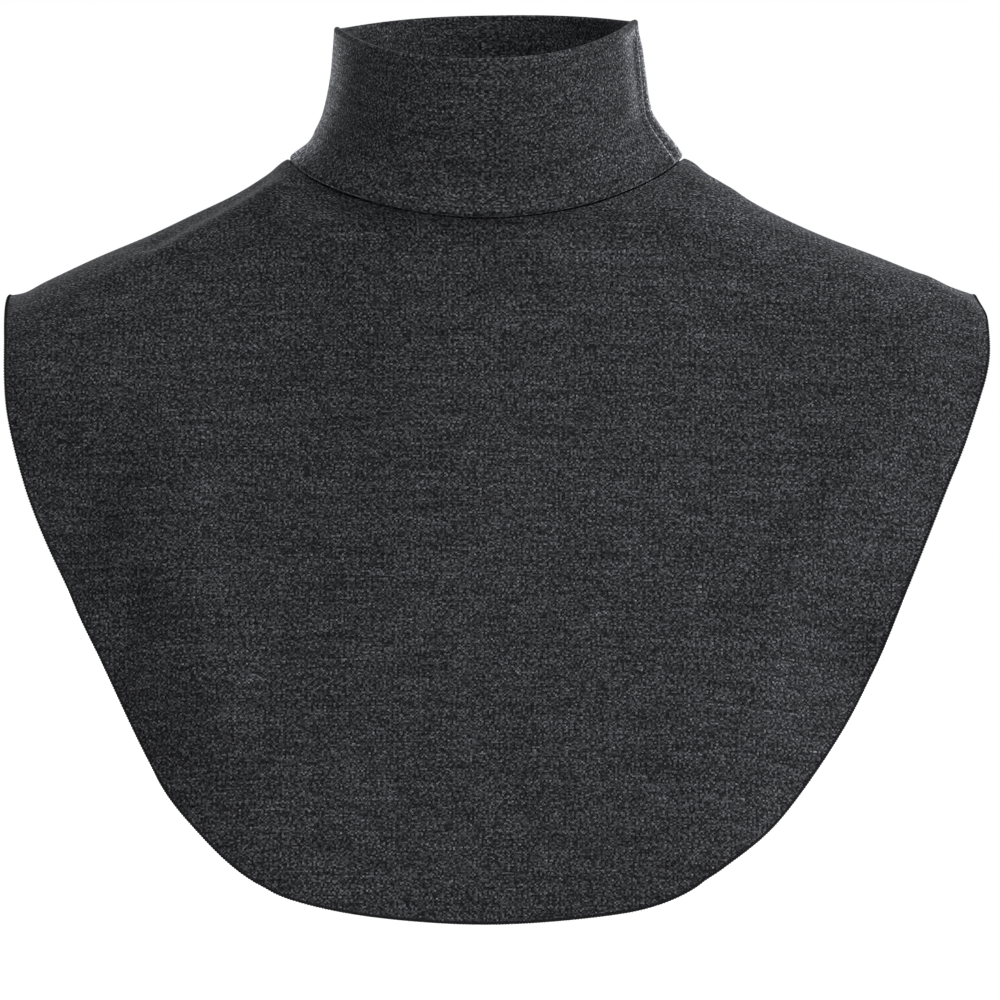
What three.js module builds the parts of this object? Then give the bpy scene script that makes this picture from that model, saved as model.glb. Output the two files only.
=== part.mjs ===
import * as THREE from 'three';

// A pull-on neck cover of dark melange jersey, in the form that it has when it is worn.
// Millimetres, +Z up. The front faces -Y, and +X is the right-hand side as seen from the front.
// The origin lies between the two ends of the shoulder lines at the neck, where the neck stands.

// Cloth
const PANEL_WALL = 1.2;
const COLLAR_WALL = 2.4;
const GAP = 0.3;

// Neck seam
const NECK_HALF_WIDTH = 75.5;
const NECK_FRONT_DROP = 26.2;
const NECK_BACK_RISE = 4;
const NECK_CURVE_POWER = 1.66;
const SEAM_RIDGE_MEAN = 0.75;
const SEAM_RIDGE_TILT = 0.25;
const PANEL_RIDGE_WIDTH = 4.5;
const COLLAR_RIDGE_WIDTH = 8;

// Collar
const COLLAR_TOP_HALF_WIDTH = 58.5;
const COLLAR_TOP_FRONT_REACH = 69;
const COLLAR_TOP_BACK_REACH = 46;
const COLLAR_TOP_SIDE_HEIGHT = 53;
const COLLAR_TOP_FRONT_HEIGHT = 34.3;
const COLLAR_TOP_BACK_HEIGHT = 60;
const COLLAR_TOP_LEAN = 1.4;
const COLLAR_TOP_CURVE_POWER = 1.5;
const COLLAR_TOP_FULLNESS = 0.85;
const COLLAR_HEIGHT = 60;
const COLLAR_GAP = 0.5;
const COLLAR_SEGMENTS = 64;
const SIDE_CROWDING = 0.4;
const RING_RADIUS = 100;
const COLLAR_ROWS = [0, 0.05, 0.1, 0.15, 0.2, 0.3, 0.45, 0.65, 0.85, 0.975];

// Overlocked edge
const EDGE_RADIUS = 1.1;
const EDGE_SIDES = 6;
const EDGE_TRIM = 0.0008;

// Seam allowances
const SEAM_WALL = 1.2;
const NECK_SEAM_ROWS = 3;
const NECK_SEAM_GAP = 0.9;
const SHOULDER_SEAM_HALF_WIDTH = 3;
const SHOULDER_SEAM_START = 82;
const SHOULDER_SEAM_END = 182.5;
const SHOULDER_SEAM_COLUMNS = 12;

// Heights of the shoulder line, from the neck out to the left tip and the right tip.
const SHOULDER_TOP = 3;
const NORMAL_STEP = 0.5;
const SHOULDER_LINE = [
  { out: 0, left: 3, right: 3 },
  { out: 60, left: 3, right: 3 },
  { out: 72, left: 2.2, right: 2.2 },
  { out: 78, left: 0.1, right: 0.3 },
  { out: 84, left: -4.6, right: -4.9 },
  { out: 96, left: -12.1, right: -12.1 },
  { out: 113, left: -20.3, right: -21.2 },
  { out: 130, left: -28.4, right: -28.8 },
  { out: 150, left: -36.9, right: -36.3 },
  { out: 170, left: -46.3, right: -44.4 },
  { out: 178, left: -50.4, right: -47.8 },
  { out: 190, left: -52.4, right: -51.9 },
  { out: 210, left: -60, right: -60 },
];

// How far the collar keeps its seam width on the way up: at the left side, the right side and in front.
const COLLAR_FLARE = [
  { height: 0, left: 1, right: 1, middle: 1 },
  { height: 0.05, left: 0.82, right: 0.9, middle: 0.93 },
  { height: 0.1, left: 0.62, right: 0.78, middle: 0.86 },
  { height: 0.15, left: 0.5, right: 0.66, middle: 0.79 },
  { height: 0.2, left: 0.44, right: 0.53, middle: 0.72 },
  { height: 0.33, left: 0.27, right: 0.27, middle: 0.54 },
  { height: 0.6, left: 0.1, right: 0.14, middle: 0.25 },
  { height: 0.85, left: 0.03, right: 0.04, middle: 0.07 },
  { height: 1, left: 0, right: 0, middle: 0 },
];

// Creases of the collar beside the right-hand side. A turn is in radians from that side towards the front.
const COLLAR_FOLDS = [
  { name: 'front crease', turn0: 0.38, height0: 2, turn1: 0.29, height1: 52, width: 3, lift: 1.2 },
  { name: 'side valley', turn0: 0.28, height0: 4, turn1: 0.19, height1: 56, width: 3.5, lift: -1.7 },
  { name: 'upper bulge', turn0: 0.12, height0: 26, turn1: 0.08, height1: 46, width: 7, lift: 0.9 },
  { name: 'lower bulge', turn0: 0.16, height0: 5, turn1: 0.12, height1: 16, width: 7, lift: 0.9 },
];

// Outer edge of the front panel, from the left tip down round the hem to the right tip.
const FRONT_OUTLINE = [
  { across: -184.3, height: -50 },
  { across: -182.5, height: -68 },
  { across: -181.1, height: -98 },
  { across: -175.2, height: -124.5 },
  { across: -163.9, height: -152 },
  { across: -149.6, height: -181 },
  { across: -121.7, height: -234 },
  { across: -106.4, height: -252 },
  { across: -91.6, height: -265.8 },
  { across: -79, height: -273.4 },
  { across: -68.4, height: -277.1 },
  { across: -44, height: -282 },
  { across: 0, height: -285 },
  { across: 43.5, height: -281.8 },
  { across: 60.5, height: -278.6 },
  { across: 74.2, height: -273.2 },
  { across: 89, height: -263.5 },
  { across: 107.1, height: -248.5 },
  { across: 132.5, height: -215.5 },
  { across: 147.5, height: -190 },
  { across: 158.8, height: -163.5 },
  { across: 175.1, height: -124.5 },
  { across: 184.2, height: -102 },
  { across: 192.3, height: -73.5 },
  { across: 191.4, height: -60 },
  { across: 189, height: -50 },
];

// Outer edge of the back panel, from the right tip round to the left tip.
const BACK_OUTLINE = [
  { across: 189, height: -50 },
  { across: 190, height: -72 },
  { across: 183, height: -103 },
  { across: 156, height: -163 },
  { across: 124, height: -213 },
  { across: 84, height: -243 },
  { across: 42, height: -254 },
  { across: 2, height: -257 },
  { across: -38, height: -254 },
  { across: -80, height: -243 },
  { across: -119, height: -213 },
  { across: -151, height: -163 },
  { across: -177, height: -103 },
  { across: -183.5, height: -72 },
  { across: -184.3, height: -50 },
];

// The cloth rolls over the shoulder line and then leans away down the front or the back.
// The shoulder seam holds the cloth next to it free of folds, and the right side of the front hangs
// a little further forward than the left.
const FORM_HALF_WIDTH = 185;
const SIDE_CURVE_POWER = 3;
const FORM_FALL_WIDTH = 90;
const ROLL_DROP_WIDTH = 80;
const LEAN_COSINE = 0.95;
const LEAN_FREE = 30;
const TWIST_START = 60;
const SEAM_HOLD = 12;
const SHOULDER_CROWDING = 0.4;
const OUTLINE_STEPS = 480;
const FRONT = {
  facing: -1,
  outline: FRONT_OUTLINE,
  neckDrop: NECK_FRONT_DROP,
  neckRise: 0,
  seamRidge: 5.5,
  rollDepth: 61,
  rollDepthLoss: 14,
  rollDrop: 28,
  rollDropGain: 4,
  lean: 0.36,
  leanGain: 0.1,
  leanLoss: 0.19,
  leanStart: 60,
  leanFade: 300,
  twist: 0.04,
  columns: 60,
  rows: 15,
};
const BACK = {
  facing: 1,
  outline: BACK_OUTLINE,
  neckDrop: -NECK_BACK_RISE,
  neckRise: 20,
  seamRidge: 0,
  rollDepth: 60,
  rollDepthLoss: 16,
  rollDrop: 38,
  rollDropGain: 8,
  lean: 0.24,
  leanGain: 0,
  leanLoss: 0.08,
  leanStart: 1,
  leanFade: 110,
  twist: 0,
  columns: 48,
  rows: 12,
};

// Folds of the front panel: a ridge or a dent along a line in the front view.
const FRONT_FOLDS = [
  { name: 'left shoulder ridge', x0: -83, z0: -12.5, x1: -141, z1: -45.5, width: 4.5, lift: 1.6 },
  { name: 'left shoulder dent', x0: -80, z0: -5.5, x1: -128, z1: -33, width: 4.5, lift: -2.2 },
  { name: 'left neck pucker', x0: -79, z0: -6, x1: -81, z1: -20, width: 5, lift: 1.4 },
  { name: 'right tip ridge', x0: 168, z0: -48, x1: 189, z1: -60, width: 5, lift: 1.6 },
  { name: 'right neck hump', x0: 80, z0: -5, x1: 92, z1: -13, width: 7, lift: 1.5 },
  { name: 'right side ridge', x0: 163, z0: -82, x1: 108, z1: -170, width: 11, lift: 4 },
  { name: 'right side valley', x0: 193, z0: -98, x1: 138, z1: -181, width: 26, lift: -12 },
  { name: 'right hem valley', x0: 137, z0: -198, x1: 121, z1: -240, width: 25, lift: -7.5 },
  { name: 'left side valley', x0: -170, z0: -120, x1: -128, z1: -225, width: 24, lift: -6.5 },
  { name: 'left upper crease', x0: -137, z0: -119, x1: -160, z1: -161, width: 8, lift: -3 },
  { name: 'left middle crease', x0: -130, z0: -167, x1: -141, z1: -184, width: 7, lift: -2.5 },
  { name: 'left lower crease', x0: -139, z0: -196, x1: -127, z1: -226, width: 7, lift: -2.2 },
  { name: 'left tuck', x0: -68, z0: -15, x1: -38, z1: -26, width: 7, lift: -2.4 },
  { name: 'middle tuck', x0: -14, z0: -30.5, x1: 42, z1: -27.5, width: 7, lift: -3 },
  { name: 'middle swell', x0: -24, z0: -84, x1: -30, z1: -180, width: 30, lift: 2.2 },
  { name: 'left swell', x0: -112, z0: -110, x1: -104, z1: -215, width: 20, lift: 2.2 },
  { name: 'right neck swell', x0: 20, z0: -38, x1: 72, z1: -64, width: 20, lift: 2.3 },
  { name: 'right shoulder ridge', x0: 86, z0: -19, x1: 166, z1: -55, width: 10, lift: 2 },
];

// A smooth value from a table: rows are in order of the key, and the slope follows the neighbours.
function valueAt(table, key, column, at) {
  const last = table.length - 1;
  const clamped = Math.min(Math.max(at, table[0][key]), table[last][key]);
  let i = 0;
  while (i < last - 1 && clamped > table[i + 1][key]) i += 1;
  const slope = (j) => {
    const before = table[Math.max(j - 1, 0)];
    const after = table[Math.min(j + 1, last)];
    return (after[column] - before[column]) / (after[key] - before[key]);
  };
  const start = table[i];
  const end = table[i + 1];
  const span = end[key] - start[key];
  const t = (clamped - start[key]) / span;
  const rise = end[column] - start[column];
  const leaving = slope(i) * span;
  const arriving = slope(i + 1) * span;
  const bend = t * (1 - t) * ((1 - t) * (leaving - rise) - t * (arriving - rise));
  return start[column] + rise * t + bend;
}

function shoulderHeight(side, x) {
  const inside = Math.max(1 - (x / NECK_HALF_WIDTH) ** 2, 0);
  return valueAt(SHOULDER_LINE, 'out', x < 0 ? 'left' : 'right', Math.abs(x)) + side.neckRise * inside;
}

function rollAt(side, x) {
  const share = Math.abs(x / FORM_HALF_WIDTH) ** SIDE_CURVE_POWER;
  const aside = Math.tanh((x / FORM_FALL_WIDTH) ** 2);
  const depth = side.rollDepth - side.rollDepthLoss * aside;
  const drop = side.rollDrop + side.rollDropGain * Math.tanh((x / ROLL_DROP_WIDTH) ** 2);
  const length = (Math.PI / 2) * Math.sqrt((depth ** 2 + drop ** 2) / 2);
  return { depth, drop, length, lean: side.lean + side.leanGain * aside - side.leanLoss * share };
}

// The distance down the cloth from the shoulder line, at a height seen from the front.
function drapeAt(side, x, height) {
  const roll = rollAt(side, x);
  const drop = Math.max(shoulderHeight(side, x) - height, 0);
  if (drop < roll.drop) return (roll.length * Math.acos(1 - drop / roll.drop)) / (Math.PI / 2);
  return roll.length + (drop - roll.drop) / LEAN_COSINE;
}

// How far a unit of lean brings the cloth out. It starts below the neck and ends at the hem.
function leanReach(side, heightLost) {
  const down = Math.max(heightLost, 0);
  const begun = down - side.leanStart * Math.atan(down / side.leanStart);
  return side.leanFade * Math.tanh(begun / side.leanFade);
}

// A point of the worn form, at a place across and a distance down the cloth.
function formPoint(side, x, drape) {
  const roll = rollAt(side, x);
  const turn = Math.min(drape / roll.length, 1) * (Math.PI / 2);
  const straight = Math.max(drape - roll.length, 0);
  const drop = roll.drop * (1 - Math.cos(turn)) + straight * LEAN_COSINE;
  const top = shoulderHeight(side, x);
  const held = leanReach(side, SHOULDER_TOP - top) * Math.exp(-drop / LEAN_FREE);
  const lean = roll.lean * (leanReach(side, SHOULDER_TOP - top + drop) - held);
  const twist = side.twist * x * (1 - Math.exp(-((drop / TWIST_START) ** 2)));
  const reach = roll.depth * Math.sin(turn) + lean + twist;
  return new THREE.Vector3(x, side.facing * reach, top - drop);
}

function formNormal(side, x, drape) {
  const step = NORMAL_STEP;
  const across = formPoint(side, x + step, drape).sub(formPoint(side, x - step, drape));
  const down = formPoint(side, x, drape + step).sub(formPoint(side, x, Math.max(drape - step, 0)));
  return down.cross(across).multiplyScalar(-side.facing).normalize();
}

function foldLift(folds, x, z) {
  let lift = 0;
  for (const fold of folds) {
    const alongX = fold.x1 - fold.x0;
    const alongZ = fold.z1 - fold.z0;
    const length = Math.hypot(alongX, alongZ);
    const along = ((x - fold.x0) * alongX + (z - fold.z0) * alongZ) / length ** 2;
    const off = ((x - fold.x0) * alongZ - (z - fold.z0) * alongX) / length;
    const past = Math.max(-along, along - 1, 0) * length;
    lift += fold.lift * Math.exp(-((off ** 2 + past ** 2) / fold.width ** 2));
  }
  return lift;
}

// The neck seam stands out level under the collar, less on the right than on the left.
// An angle of 0 is the right side, and a quarter turn is the front.
function ridgeShift(side, angle, strength) {
  const leftward = SEAM_RIDGE_MEAN - SEAM_RIDGE_TILT * Math.cos(angle);
  const reach = side.seamRidge * strength * leftward * Math.max(Math.sin(angle), 0);
  return new THREE.Vector3(reach * Math.cos(angle), -reach * Math.sin(angle), 0);
}

// The neck seam in the flat cloth: a turn of 0 is one end of the shoulder line, and 1 is the other.
function neckOnCloth(side, turn) {
  const angle = Math.PI * turn;
  const x = side.facing * NECK_HALF_WIDTH * Math.cos(angle);
  const leftStart = shoulderHeight(side, -NECK_HALF_WIDTH);
  const rightStart = shoulderHeight(side, NECK_HALF_WIDTH);
  const start = leftStart + (rightStart - leftStart) * (0.5 + (0.5 * x) / NECK_HALF_WIDTH);
  const height = start - side.neckDrop * Math.max(Math.sin(angle), 0) ** NECK_CURVE_POWER;
  return new THREE.Vector2(x, drapeAt(side, x, height));
}

// The outer edge is smooth as seen from the front. A turn along it gives a place in the flat cloth,
// an inset's distance into the cloth from the edge.
function outlineOnCloth(side) {
  const rows = side.outline.map((row) => {
    return new THREE.Vector3(row.across, Math.min(row.height, shoulderHeight(side, row.across)), 0);
  });
  const seen = new THREE.CatmullRomCurve3(rows, false, 'centripetal').getPoints(OUTLINE_STEPS);
  const points = seen.map((point) => new THREE.Vector3(point.x, drapeAt(side, point.x, point.y), 0));
  const curve = new THREE.CatmullRomCurve3(points, false, 'centripetal');
  curve.arcLengthDivisions = 2 * OUTLINE_STEPS;
  return (turn, inset) => {
    const tangent = curve.getTangentAt(turn);
    const inward = new THREE.Vector2(-side.facing * tangent.y, side.facing * tangent.x);
    const point = curve.getPointAt(turn);
    return new THREE.Vector2(point.x, point.y).addScaledVector(inward, inset);
  };
}

// A point in the wall of a worn panel, from its turn along the neck seam and its share of the way out.
function panelPoint(side, folds, outline, turn, outward, inset, depth) {
  const near = neckOnCloth(side, turn);
  const far = outline(turn, inset);
  const place = near.clone().lerp(far, outward);
  const drape = Math.max(place.y, GAP / 2);
  const point = formPoint(side, place.x, drape);
  const freed = 1 - Math.exp(-((drape / SEAM_HOLD) ** 2));
  const fromNeck = outward * near.distanceTo(far);
  const lift = freed * foldLift(folds, point.x, point.z);
  point.add(ridgeShift(side, Math.PI * (1 - turn), Math.exp(-fromNeck / PANEL_RIDGE_WIDTH)));
  return point.addScaledVector(formNormal(side, place.x, drape), lift - depth);
}

// Columns crowd towards the shoulder lines, where the cloth turns over.
function crowded(turn) {
  return turn - (SHOULDER_CROWDING * Math.sin(2 * Math.PI * turn)) / (2 * Math.PI);
}

// A panel is a box whose width runs along the neck seam and whose height runs out to the edge.
function panelGeometry(side, folds) {
  const geometry = new THREE.BoxGeometry(1, 1, 1, side.columns, side.rows, 1);
  const outline = outlineOnCloth(side);
  const inset = 2 * EDGE_RADIUS + GAP;
  const positions = geometry.attributes.position;
  for (let i = 0; i < positions.count; i += 1) {
    const turn = crowded(positions.getX(i) + 0.5);
    const outward = 0.5 - positions.getY(i);
    const depth = PANEL_WALL * (0.5 - positions.getZ(i));
    const point = panelPoint(side, folds, outline, turn, outward, inset, depth);
    positions.setXYZ(i, point.x, point.y, point.z);
  }
  return geometry;
}

// The thread edge is a round bead just outside the cut edge of the cloth, in step with its columns.
class EdgePath extends THREE.Curve {
  constructor(side, folds) {
    super();
    this.side = side;
    this.folds = folds;
    this.outline = outlineOnCloth(side);
  }

  getPoint(share) {
    const trimmed = EDGE_TRIM + share * (1 - 2 * EDGE_TRIM);
    const turn = crowded(trimmed);
    return panelPoint(this.side, this.folds, this.outline, turn, 1, EDGE_RADIUS, PANEL_WALL / 2);
  }

  getUtoTmapping(share) {
    return share;
  }
}

function edgeGeometry(side, folds) {
  const section = new THREE.Shape();
  section.absarc(0, 0, EDGE_RADIUS, 0, 2 * Math.PI, false);
  return new THREE.ExtrudeGeometry(section, {
    steps: side.columns,
    curveSegments: EDGE_SIDES / 2,
    extrudePath: new EdgePath(side, folds),
  });
}

// A sine or cosine for an oval with fuller corners than an ellipse.
function fuller(ratio) {
  return Math.sign(ratio) * Math.abs(ratio) ** COLLAR_TOP_FULLNESS;
}

// The outer surface of the collar: angle 0 is the right side, and a quarter turn is the front.
function collarPoint(angle, share) {
  const sideways = Math.cos(angle);
  const sideFlare = valueAt(COLLAR_FLARE, 'height', sideways > 0 ? 'right' : 'left', share);
  const middleFlare = valueAt(COLLAR_FLARE, 'height', 'middle', share);
  const flare = middleFlare + (sideFlare - middleFlare) * sideways ** 2;
  const isFront = Math.sin(angle) >= 0;
  const side = isFront ? FRONT : BACK;
  const turn = Math.acos(Math.cos(angle)) / Math.PI;
  const seam = neckOnCloth(side, isFront ? 1 - turn : turn);
  const bottom = formPoint(side, seam.x, seam.y);
  const topReach = isFront ? COLLAR_TOP_FRONT_REACH : COLLAR_TOP_BACK_REACH;
  const topHeight = isFront ? COLLAR_TOP_FRONT_HEIGHT : COLLAR_TOP_BACK_HEIGHT;
  const topShare = Math.abs(Math.sin(angle)) ** COLLAR_TOP_CURVE_POWER;
  const top = new THREE.Vector3(
    COLLAR_TOP_HALF_WIDTH * fuller(Math.cos(angle)),
    -topReach * fuller(Math.sin(angle)),
    COLLAR_TOP_SIDE_HEIGHT + (topHeight - COLLAR_TOP_SIDE_HEIGHT) * topShare
      + COLLAR_TOP_LEAN * Math.cos(angle),
  );
  const point = bottom.clone().lerp(top, 1 - flare);
  point.z = bottom.z + COLLAR_GAP + (top.z - bottom.z - COLLAR_GAP) * share;
  const ridge = Math.exp(-(((share * COLLAR_HEIGHT) / COLLAR_RIDGE_WIDTH) ** 2));
  return point.add(ridgeShift(FRONT, angle, ridge));
}

function collarLift(angle, share) {
  const radius = (COLLAR_TOP_HALF_WIDTH + COLLAR_TOP_FRONT_REACH) / 2;
  const height = share * COLLAR_HEIGHT;
  const folds = COLLAR_FOLDS.map((fold) => ({
    x0: fold.turn0 * radius,
    z0: fold.height0,
    x1: fold.turn1 * radius,
    z1: fold.height1,
    width: fold.width,
    lift: fold.lift,
  }));
  return foldLift(folds, angle * radius, height);
}

function collarNormal(angle, share) {
  const step = 0.01;
  const low = Math.max(share - step, 0);
  const high = Math.min(share + step, 1);
  const up = collarPoint(angle, high).sub(collarPoint(angle, low));
  const round = collarPoint(angle + step, share).sub(collarPoint(angle - step, share));
  return up.cross(round).normalize();
}

// A ring is turned round a plain circle from a closed profile of depths in the wall and shares of the
// height, and each of its points then goes to its place on the collar.
function ringGeometry(profile) {
  const points = profile.map((row) => new THREE.Vector2(RING_RADIUS - row.depth, row.share));
  points.push(points[0].clone());
  const geometry = new THREE.LatheGeometry(points, COLLAR_SEGMENTS);
  const positions = geometry.attributes.position;
  for (let i = 0; i < positions.count; i += 1) {
    const depth = RING_RADIUS - Math.hypot(positions.getX(i), positions.getZ(i));
    const evenAngle = Math.atan2(positions.getZ(i), positions.getX(i));
    const angle = evenAngle - (SIDE_CROWDING / 2) * Math.sin(2 * evenAngle);
    const share = positions.getY(i);
    const point = collarPoint(angle, share);
    point.addScaledVector(collarNormal(angle, share), collarLift(angle, share) - depth);
    positions.setXYZ(i, point.x, point.y, point.z);
  }
  return geometry;
}

// The band is folded double, so its wall goes up, over the rounded fold and down again.
function collarGeometry() {
  const outer = COLLAR_ROWS.map((share) => ({ depth: 0, share }));
  const fold = [0.25, 0.75].map((part) => ({ depth: part * COLLAR_WALL, share: 1 }));
  const inner = COLLAR_ROWS.map((share) => ({ depth: COLLAR_WALL, share }));
  return ringGeometry([...outer, ...fold, ...inner.reverse()]);
}

// The joined allowance stands up inside the foot of the collar.
function neckSeamGeometry() {
  const rows = COLLAR_ROWS.slice(0, NECK_SEAM_ROWS);
  const start = COLLAR_WALL + NECK_SEAM_GAP;
  const near = rows.map((share) => ({ depth: start, share }));
  const far = rows.map((share) => ({ depth: start + SEAM_WALL, share }));
  return ringGeometry([...near, ...far.reverse()]);
}

// The allowance under a shoulder line is a flat strip that follows it out to the tip.
function shoulderSeamGeometry(hand) {
  const geometry = new THREE.BoxGeometry(1, 1, 1, SHOULDER_SEAM_COLUMNS, 1, 1);
  const positions = geometry.attributes.position;
  const middle = (SHOULDER_SEAM_START + SHOULDER_SEAM_END) / 2;
  const length = SHOULDER_SEAM_END - SHOULDER_SEAM_START;
  for (let i = 0; i < positions.count; i += 1) {
    const x = hand * middle + length * positions.getX(i);
    const depth = PANEL_WALL + 2 * GAP + SEAM_WALL * (0.5 - positions.getZ(i));
    const point = formPoint(FRONT, x, 0).addScaledVector(formNormal(FRONT, x, 0), -depth);
    positions.setXYZ(i, point.x, 2 * SHOULDER_SEAM_HALF_WIDTH * positions.getY(i), point.z);
  }
  return geometry;
}

const JERSEY = { color: 0x36373a, roughness: 0.95, metalness: 0 };
const THREAD = { color: 0x1c1c1f, roughness: 0.8, metalness: 0 };

function piece(name, geometry, finish) {
  const mesh = new THREE.Mesh(geometry, new THREE.MeshStandardMaterial(finish));
  mesh.name = name;
  return mesh;
}

const neckCover = new THREE.Group();
neckCover.add(piece('collar', collarGeometry(), JERSEY));
neckCover.add(piece('front_panel', panelGeometry(FRONT, FRONT_FOLDS), JERSEY));
neckCover.add(piece('back_panel', panelGeometry(BACK, []), JERSEY));
neckCover.add(piece('neck_seam', neckSeamGeometry(), THREAD));
neckCover.add(piece('shoulder_seam_left', shoulderSeamGeometry(-1), THREAD));
neckCover.add(piece('shoulder_seam_right', shoulderSeamGeometry(1), THREAD));
neckCover.add(piece('front_edge', edgeGeometry(FRONT, FRONT_FOLDS), THREAD));
neckCover.add(piece('back_edge', edgeGeometry(BACK, []), THREAD));

export default neckCover;
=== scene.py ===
import math

import bmesh
import bpy
import numpy as np
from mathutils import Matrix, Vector


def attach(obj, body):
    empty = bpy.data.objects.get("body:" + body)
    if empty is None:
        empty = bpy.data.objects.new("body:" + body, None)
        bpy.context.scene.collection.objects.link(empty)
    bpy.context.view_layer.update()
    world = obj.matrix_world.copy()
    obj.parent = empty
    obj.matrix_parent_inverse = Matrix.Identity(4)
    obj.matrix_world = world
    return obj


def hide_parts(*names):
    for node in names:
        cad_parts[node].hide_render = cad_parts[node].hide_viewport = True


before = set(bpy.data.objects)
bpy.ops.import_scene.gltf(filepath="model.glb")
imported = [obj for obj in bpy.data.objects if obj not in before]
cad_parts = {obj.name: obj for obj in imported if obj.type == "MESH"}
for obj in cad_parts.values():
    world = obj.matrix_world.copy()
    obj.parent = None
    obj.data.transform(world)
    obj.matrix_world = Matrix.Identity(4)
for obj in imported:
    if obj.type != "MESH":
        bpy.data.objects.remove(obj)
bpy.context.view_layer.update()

# A pull-on neck cover of dark melange jersey, in the form that it has when it is worn.
# Sizes are in millimetres, and every finished mesh is in metres.
# The front faces -Y, and +X is the right-hand side as seen from the front.
MM = 0.001

# Cloth
PANEL_WALL = 1.2
PANEL_CLOTH = 0.9
COLLAR_WALL = 2.4
COLLAR_CLOTH = 0.8
GAP = 0.3

# Neck seam
NECK_HALF_WIDTH = 75.5
NECK_CURVE_POWER = 1.66

# Collar
COLLAR_TOP_HALF_WIDTH = 58.5
COLLAR_TOP_FRONT_REACH = 69
COLLAR_TOP_BACK_REACH = 46
COLLAR_TOP_SIDE_HEIGHT = 53
COLLAR_TOP_FRONT_HEIGHT = 34.3
COLLAR_TOP_BACK_HEIGHT = 60
COLLAR_TOP_LEAN = 1.4
COLLAR_TOP_CURVE_POWER = 1.5
COLLAR_TOP_FULLNESS = 0.85
COLLAR_HEIGHT = 60
COLLAR_GAP = 0.5
COLLAR_COLUMNS = 300
COLLAR_ROWS = 96
COLLAR_SIDE_CROWDING = 0.2
FOLD_FROM = 0.53
FOLD_TO = 0.6
OUTSIDE_CROWDING = 0.75
INSIDE_CROWDING = 0.6

# Heights of the shoulder line: distance out from the neck, left height, right height
SHOULDER_LINE = (
    (0, 3, 3),
    (60, 3, 3),
    (72, 2.2, 2.2),
    (78, 0.1, 0.3),
    (84, -4.6, -4.9),
    (96, -12.1, -12.1),
    (113, -20.3, -21.2),
    (130, -28.4, -28.8),
    (150, -36.9, -36.3),
    (170, -46.3, -44.4),
    (178, -50.4, -47.8),
    (190, -52.4, -51.9),
    (210, -60, -60),
)
LEFT_HEIGHT = 1
RIGHT_HEIGHT = 2
SHOULDER_TOP = 3

# How far the collar keeps its seam width: share of the height, left side, right side, front and back
COLLAR_FLARE = (
    (0, 1, 1, 1),
    (0.05, 0.82, 0.9, 0.93),
    (0.1, 0.62, 0.78, 0.86),
    (0.15, 0.5, 0.66, 0.79),
    (0.2, 0.44, 0.53, 0.72),
    (0.33, 0.27, 0.27, 0.54),
    (0.6, 0.1, 0.14, 0.25),
    (0.85, 0.03, 0.04, 0.07),
    (1, 0, 0, 0),
)
FLARE_LEFT = 1
FLARE_RIGHT = 2
FLARE_MIDDLE = 3

# Folds of the collar: start turn, start height, end turn, end height, width, lift
# A turn is in radians from the right-hand side towards the front.
COLLAR_FOLDS = (
    (0.38, 2, 0.29, 52, 3, 1.2),
    (0.28, 4, 0.19, 56, 3.5, -1.7),
    (0.12, 26, 0.08, 46, 7, 0.9),
    (0.16, 5, 0.12, 16, 7, 0.9),
)

# Outer edge of the front panel, from the left tip round the hem to the right tip: across, height
FRONT_OUTLINE = (
    (-184.3, -50),
    (-182.5, -68),
    (-181.1, -98),
    (-175.2, -124.5),
    (-163.9, -152),
    (-149.6, -181),
    (-121.7, -234),
    (-106.4, -252),
    (-91.6, -265.8),
    (-79, -273.4),
    (-68.4, -277.1),
    (-44, -282),
    (0, -285),
    (43.5, -281.8),
    (60.5, -278.6),
    (74.2, -273.2),
    (89, -263.5),
    (107.1, -248.5),
    (132.5, -215.5),
    (147.5, -190),
    (158.8, -163.5),
    (175.1, -124.5),
    (184.2, -102),
    (192.3, -73.5),
    (191.4, -60),
    (189, -50),
)

# Outer edge of the back panel, from the right tip round to the left tip: across, height
BACK_OUTLINE = (
    (189, -50),
    (190, -72),
    (183, -103),
    (156, -163),
    (124, -213),
    (84, -243),
    (42, -254),
    (2, -257),
    (-38, -254),
    (-80, -243),
    (-119, -213),
    (-151, -163),
    (-177, -103),
    (-183.5, -72),
    (-184.3, -50),
)

# Folds of the front panel, in the front view:
# start across, start height, end across, end height, width, lift
FRONT_FOLDS = (
    (-83, -12.5, -141, -45.5, 4.5, 1.6),
    (-80, -5.5, -128, -33, 4.5, -2.2),
    (-79, -6, -81, -20, 5, 1.4),
    (168, -48, 189, -60, 5, 1.6),
    (80, -5, 92, -13, 7, 1.5),
    (163, -82, 108, -170, 11, 4),
    (193, -98, 138, -181, 26, -12),
    (137, -198, 121, -240, 25, -7.5),
    (-170, -120, -128, -225, 24, -6.5),
    (-137, -119, -160, -161, 8, -3),
    (-130, -167, -141, -184, 7, -2.5),
    (-139, -196, -127, -226, 7, -2.2),
    (-68, -15, -38, -26, 7, -2.4),
    (-14, -30.5, 42, -27.5, 7, -3),
    (-24, -84, -30, -180, 30, 2.2),
    (-112, -110, -104, -215, 20, 2.2),
    (20, -38, 72, -64, 20, 2.3),
    (86, -19, 166, -55, 10, 2),
)

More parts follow.
